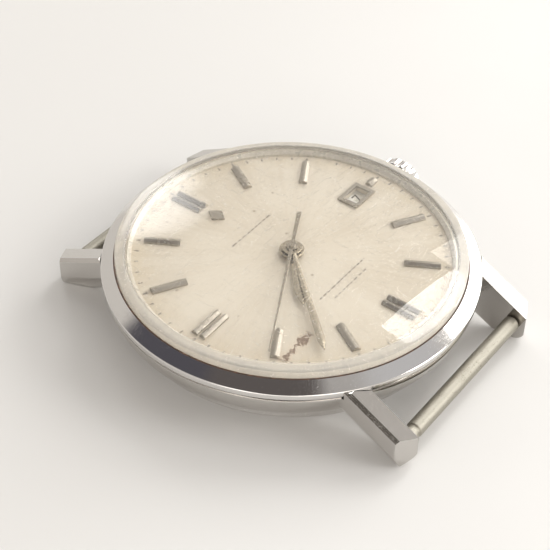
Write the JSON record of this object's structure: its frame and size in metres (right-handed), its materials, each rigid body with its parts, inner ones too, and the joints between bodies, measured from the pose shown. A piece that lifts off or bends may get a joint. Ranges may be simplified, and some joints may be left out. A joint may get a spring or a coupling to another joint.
{
  "type": "wristwatch",
  "caption": "Self-winding wristwatch head with a round steel case, domed crystal, centre seconds, date window and sprung strap bars, without a strap.",
  "frame": {"origin": "centre of the flat rest face of the case back", "axes": "+Z towards the crystal, +Y towards 12 on the dial, +X towards 3 and the crown"},
  "size_m": [0.0361, 0.0394, 0.0091],
  "materials": {
    "case_steel": "polished stainless steel, worn",
    "crystal": "clear domed acrylic, scratched",
    "dial": "sunburst silver lacquer, aged",
    "markers": "faceted and polished",
    "hands": "polished",
    "date_white": "matt white print base",
    "plated_brass": "rhodium plated, circular grained",
    "gilt": "gilt",
    "movement_steel": "grained",
    "blue_steel": "spring steel",
    "ruby": "synthetic ruby",
    "gasket": "matt",
    "bar_metal": "aged nickel plate"
  },
  "bodies": {
    "case": {"mid_case": "case_steel", "bezel": "case_steel", "case_back": "case_steel", "back_gasket": "gasket", "crystal": "crystal", "tension_ring": "markers", "crown_tube": "case_steel", "movement_ring": "plated_brass", "dial": "dial", "applied_markers": "markers", "main_plate": "plated_brass", "barrel_bridge": "plated_brass", "train_bridge": "plated_brass", "balance_cock": "plated_brass", "pallet_cock": "plated_brass", "automatic_bridge": "plated_brass", "bridge_screws": "movement_steel", "jewels": "ruby", "strap_bar_tubes": "bar_metal", "strap_bar_springs": "movement_steel", "hairspring": "blue_steel", "mainspring": "blue_steel"},
    "seconds": {"fourth_wheel": "gilt", "seconds_hand": "hands"},
    "third": {"third_wheel": "gilt"},
    "great": {"great_wheel": "gilt"},
    "barrel": {"barrel_drum": "gilt", "barrel_cover": "gilt"},
    "escape": {"escape_wheel": "movement_steel"},
    "minutes": {"cannon_pinion": "movement_steel", "minute_hand": "hands"},
    "minute_gear": {"minute_wheel": "gilt"},
    "hours": {"hour_wheel": "gilt", "hour_hand": "hands"},
    "driving_gear": {"minute_driving_pinion": "movement_steel"},
    "setting_gear": {"setting_wheel": "gilt"},
    "date_gear": {"date_driving_wheel": "gilt"},
    "winding": {"winding_pinion": "movement_steel"},
    "crown_and_stem": {"crown": "case_steel", "crown_gasket": "gasket", "stem": "movement_steel"},
    "clutch": {"sliding_pinion": "movement_steel"},
    "setting_lever": {"setting_lever": "movement_steel"},
    "yoke": {"yoke": "movement_steel"},
    "crown_gear": {"crown_wheel": "movement_steel"},
    "ratchet": {"ratchet_wheel": "movement_steel", "barrel_arbor": "movement_steel"},
    "reduction": {"reduction_wheel": "gilt"},
    "rotor": {"rotor": "gilt"},
    "reverser_a": {"reverser_a": "gilt"},
    "reverser_b": {"reverser_b": "gilt"},
    "balance": {"balance_wheel": "gilt"},
    "fork": {"pallet_fork": "movement_steel"},
    "date": {"date_ring": "date_white"},
    "date_detent": {"date_jumper": "movement_steel"},
    "click": {"click": "movement_steel"},
    "tip_12_left": {"bar_tip_12_left": "bar_metal"},
    "tip_12_right": {"bar_tip_12_right": "bar_metal"},
    "tip_6_left": {"bar_tip_6_left": "bar_metal"},
    "tip_6_right": {"bar_tip_6_right": "bar_metal"}
  },
  "joints": [
    {"name": "seconds_turn", "type": "hinge", "parent": "case", "child": "seconds", "pos_m": [0, 0, 0.0071], "axis": [0, 0, 1], "continuous": true},
    {"name": "third_turn", "type": "hinge", "parent": "case", "child": "third", "pos_m": [-0.00167, 0.00321, 0.0035], "axis": [0, 0, 1], "continuous": true},
    {"name": "great_turn", "type": "hinge", "parent": "case", "child": "great", "pos_m": [0.00231, 0.00398, 0.0035], "axis": [0, 0, 1], "continuous": true},
    {"name": "barrel_turn", "type": "hinge", "parent": "case", "child": "barrel", "pos_m": [0.0072, 0.0052, 0.004], "axis": [0, 0, 1], "continuous": true},
    {"name": "escape_turn", "type": "hinge", "parent": "case", "child": "escape", "pos_m": [-0.0012, -0.00331, 0.0037], "axis": [0, 0, 1], "continuous": true},
    {"name": "minutes_turn", "type": "hinge", "parent": "case", "child": "minutes", "pos_m": [0, 0, 0.0069], "axis": [0, 0, 1], "continuous": true},
    {"name": "minute_gear_turn", "type": "hinge", "parent": "case", "child": "minute_gear", "pos_m": [0.00175, 0.00164, 0.0049], "axis": [0, 0, 1], "continuous": true},
    {"name": "hours_turn", "type": "hinge", "parent": "case", "child": "hours", "pos_m": [0, 0, 0.0066], "axis": [0, 0, 1], "continuous": true},
    {"name": "driving_gear_turn", "type": "hinge", "parent": "case", "child": "driving_gear", "pos_m": [0.00231, 0.00398, 0.0049], "axis": [0, 0, 1], "continuous": true},
    {"name": "setting_gear_turn", "type": "hinge", "parent": "case", "child": "setting_gear", "pos_m": [0.0061, 0, 0.0049], "axis": [0, 0, 1], "continuous": true},
    {"name": "date_gear_turn", "type": "hinge", "parent": "case", "child": "date_gear", "pos_m": [-0.00472, -0.0033, 0.0052], "axis": [0, 0, 1], "continuous": true},
    {"name": "crown_turn", "type": "hinge", "parent": "case", "child": "winding", "pos_m": [0, 0, 0.00375], "axis": [1, 0, 0], "continuous": true},
    {"name": "crown_gear_turn", "type": "hinge", "parent": "case", "child": "crown_gear", "pos_m": [0.0093, 0, 0.0023], "axis": [0, 0, 1], "continuous": true},
    {"name": "ratchet_turn", "type": "hinge", "parent": "case", "child": "ratchet", "pos_m": [0.0072, 0.0052, 0.0023], "axis": [0, 0, 1], "continuous": true},
    {"name": "reduction_turn", "type": "hinge", "parent": "case", "child": "reduction", "pos_m": [0.00473, 0.00273, 0.002], "axis": [0, 0, 1], "continuous": true},
    {"name": "crown_pull", "type": "slide", "parent": "winding", "child": "crown_and_stem", "axis": [1, 0, 0], "range_m": [0, 0.0008]},
    {"name": "clutch_shift", "type": "slide", "parent": "winding", "child": "clutch", "axis": [1, 0, 0], "range_m": [-0.0004, 0]},
    {"name": "setting_lever_swing", "type": "hinge", "parent": "case", "child": "setting_lever", "pos_m": [0.01315, -0.0026, 0.00505], "axis": [0, 0, 1], "range_deg": [-20.9, 0]},
    {"name": "yoke_swing", "type": "hinge", "parent": "case", "child": "yoke", "pos_m": [0.0103, -0.0034, 0.00505], "axis": [0, 0, 1], "range_deg": [0, 9.3]},
    {"name": "rotor_turn", "type": "hinge", "parent": "case", "child": "rotor", "pos_m": [0, 0, 0.0015], "axis": [0, 0, 1], "continuous": true},
    {"name": "reverser_a_turn", "type": "hinge", "parent": "case", "child": "reverser_a", "pos_m": [0.00215, 0.00164, 0.0018], "axis": [0, 0, 1], "continuous": true},
    {"name": "reverser_b_turn", "type": "hinge", "parent": "case", "child": "reverser_b", "pos_m": [0.00462, -0.00007, 0.0018], "axis": [0, 0, 1], "continuous": true},
    {"name": "balance_swing", "type": "hinge", "parent": "case", "child": "balance", "pos_m": [0.00016, -0.00838, 0.0033], "axis": [0, 0, 1], "range_deg": [-270, 270], "stiffness_Nm_per_rad": 0.0000001, "deforming": ["hairspring"]},
    {"name": "fork_swing", "type": "hinge", "parent": "case", "child": "fork", "pos_m": [-0.00052, -0.00587, 0.00375], "axis": [0, 0, 1], "range_deg": [-5, 5]},
    {"name": "date_turn", "type": "hinge", "parent": "case", "child": "date", "pos_m": [0, 0, 0.0055], "axis": [0, 0, 1], "continuous": true},
    {"name": "date_detent_swing", "type": "hinge", "parent": "case", "child": "date_detent", "pos_m": [-0.00624, 0.0036, 0.0055], "axis": [0, 0, 1], "range_deg": [-5, 0], "stiffness_Nm_per_rad": 0.000002},
    {"name": "click_swing", "type": "hinge", "parent": "case", "child": "click", "pos_m": [0.00576, 0.00915, 0.0023], "axis": [0, 0, 1], "range_deg": [0, 8], "stiffness_Nm_per_rad": 0.000002},
    {"name": "tip_12_left_press", "type": "slide", "parent": "case", "child": "tip_12_left", "axis": [1, 0, 0], "range_m": [0, 0.001], "stiffness_N_per_m": 1.5, "deforming": ["strap_bar_springs"]},
    {"name": "tip_12_right_press", "type": "slide", "parent": "case", "child": "tip_12_right", "axis": [-1, 0, 0], "range_m": [0, 0.001], "stiffness_N_per_m": 1.5, "deforming": ["strap_bar_springs"]},
    {"name": "tip_6_left_press", "type": "slide", "parent": "case", "child": "tip_6_left", "axis": [1, 0, 0], "range_m": [0, 0.001], "stiffness_N_per_m": 1.5, "deforming": ["strap_bar_springs"]},
    {"name": "tip_6_right_press", "type": "slide", "parent": "case", "child": "tip_6_right", "axis": [-1, 0, 0], "range_m": [0, 0.001], "stiffness_N_per_m": 1.5, "deforming": ["strap_bar_springs"]}
  ],
  "couplings": [
    {"joint": "third_turn", "follows": "seconds_turn", "ratio": -0.13333},
    {"joint": "great_turn", "follows": "seconds_turn", "ratio": 0.016667},
    {"joint": "barrel_turn", "follows": "seconds_turn", "ratio": -0.0027778},
    {"joint": "escape_turn", "follows": "seconds_turn", "ratio": -10},
    {"joint": "minute_gear_turn", "follows": "minutes_turn", "ratio": -0.33333},
    {"joint": "hours_turn", "follows": "minutes_turn", "ratio": 0.083333},
    {"joint": "driving_gear_turn", "follows": "minutes_turn", "ratio": 1},
    {"joint": "setting_gear_turn", "follows": "minutes_turn", "ratio": 0.21053},
    {"joint": "date_gear_turn", "follows": "minutes_turn", "ratio": -0.041667},
    {"joint": "crown_gear_turn", "follows": "crown_turn", "ratio": 0.51163},
    {"joint": "ratchet_turn", "follows": "crown_turn", "ratio": -0.44},
    {"joint": "reduction_turn", "follows": "crown_turn", "ratio": 2.75},
    {"joint": "clutch_shift", "follows": "crown_pull", "ratio": -0.5},
    {"joint": "setting_lever_swing", "follows": "crown_pull", "rad_per_m": -453.6},
    {"joint": "yoke_swing", "follows": "crown_pull", "rad_per_m": 200},
    {"joint": "reverser_a_turn", "follows": "rotor_turn", "ratio": -0.8},
    {"joint": "reverser_b_turn", "follows": "rotor_turn", "ratio": 0.8}
  ]
}
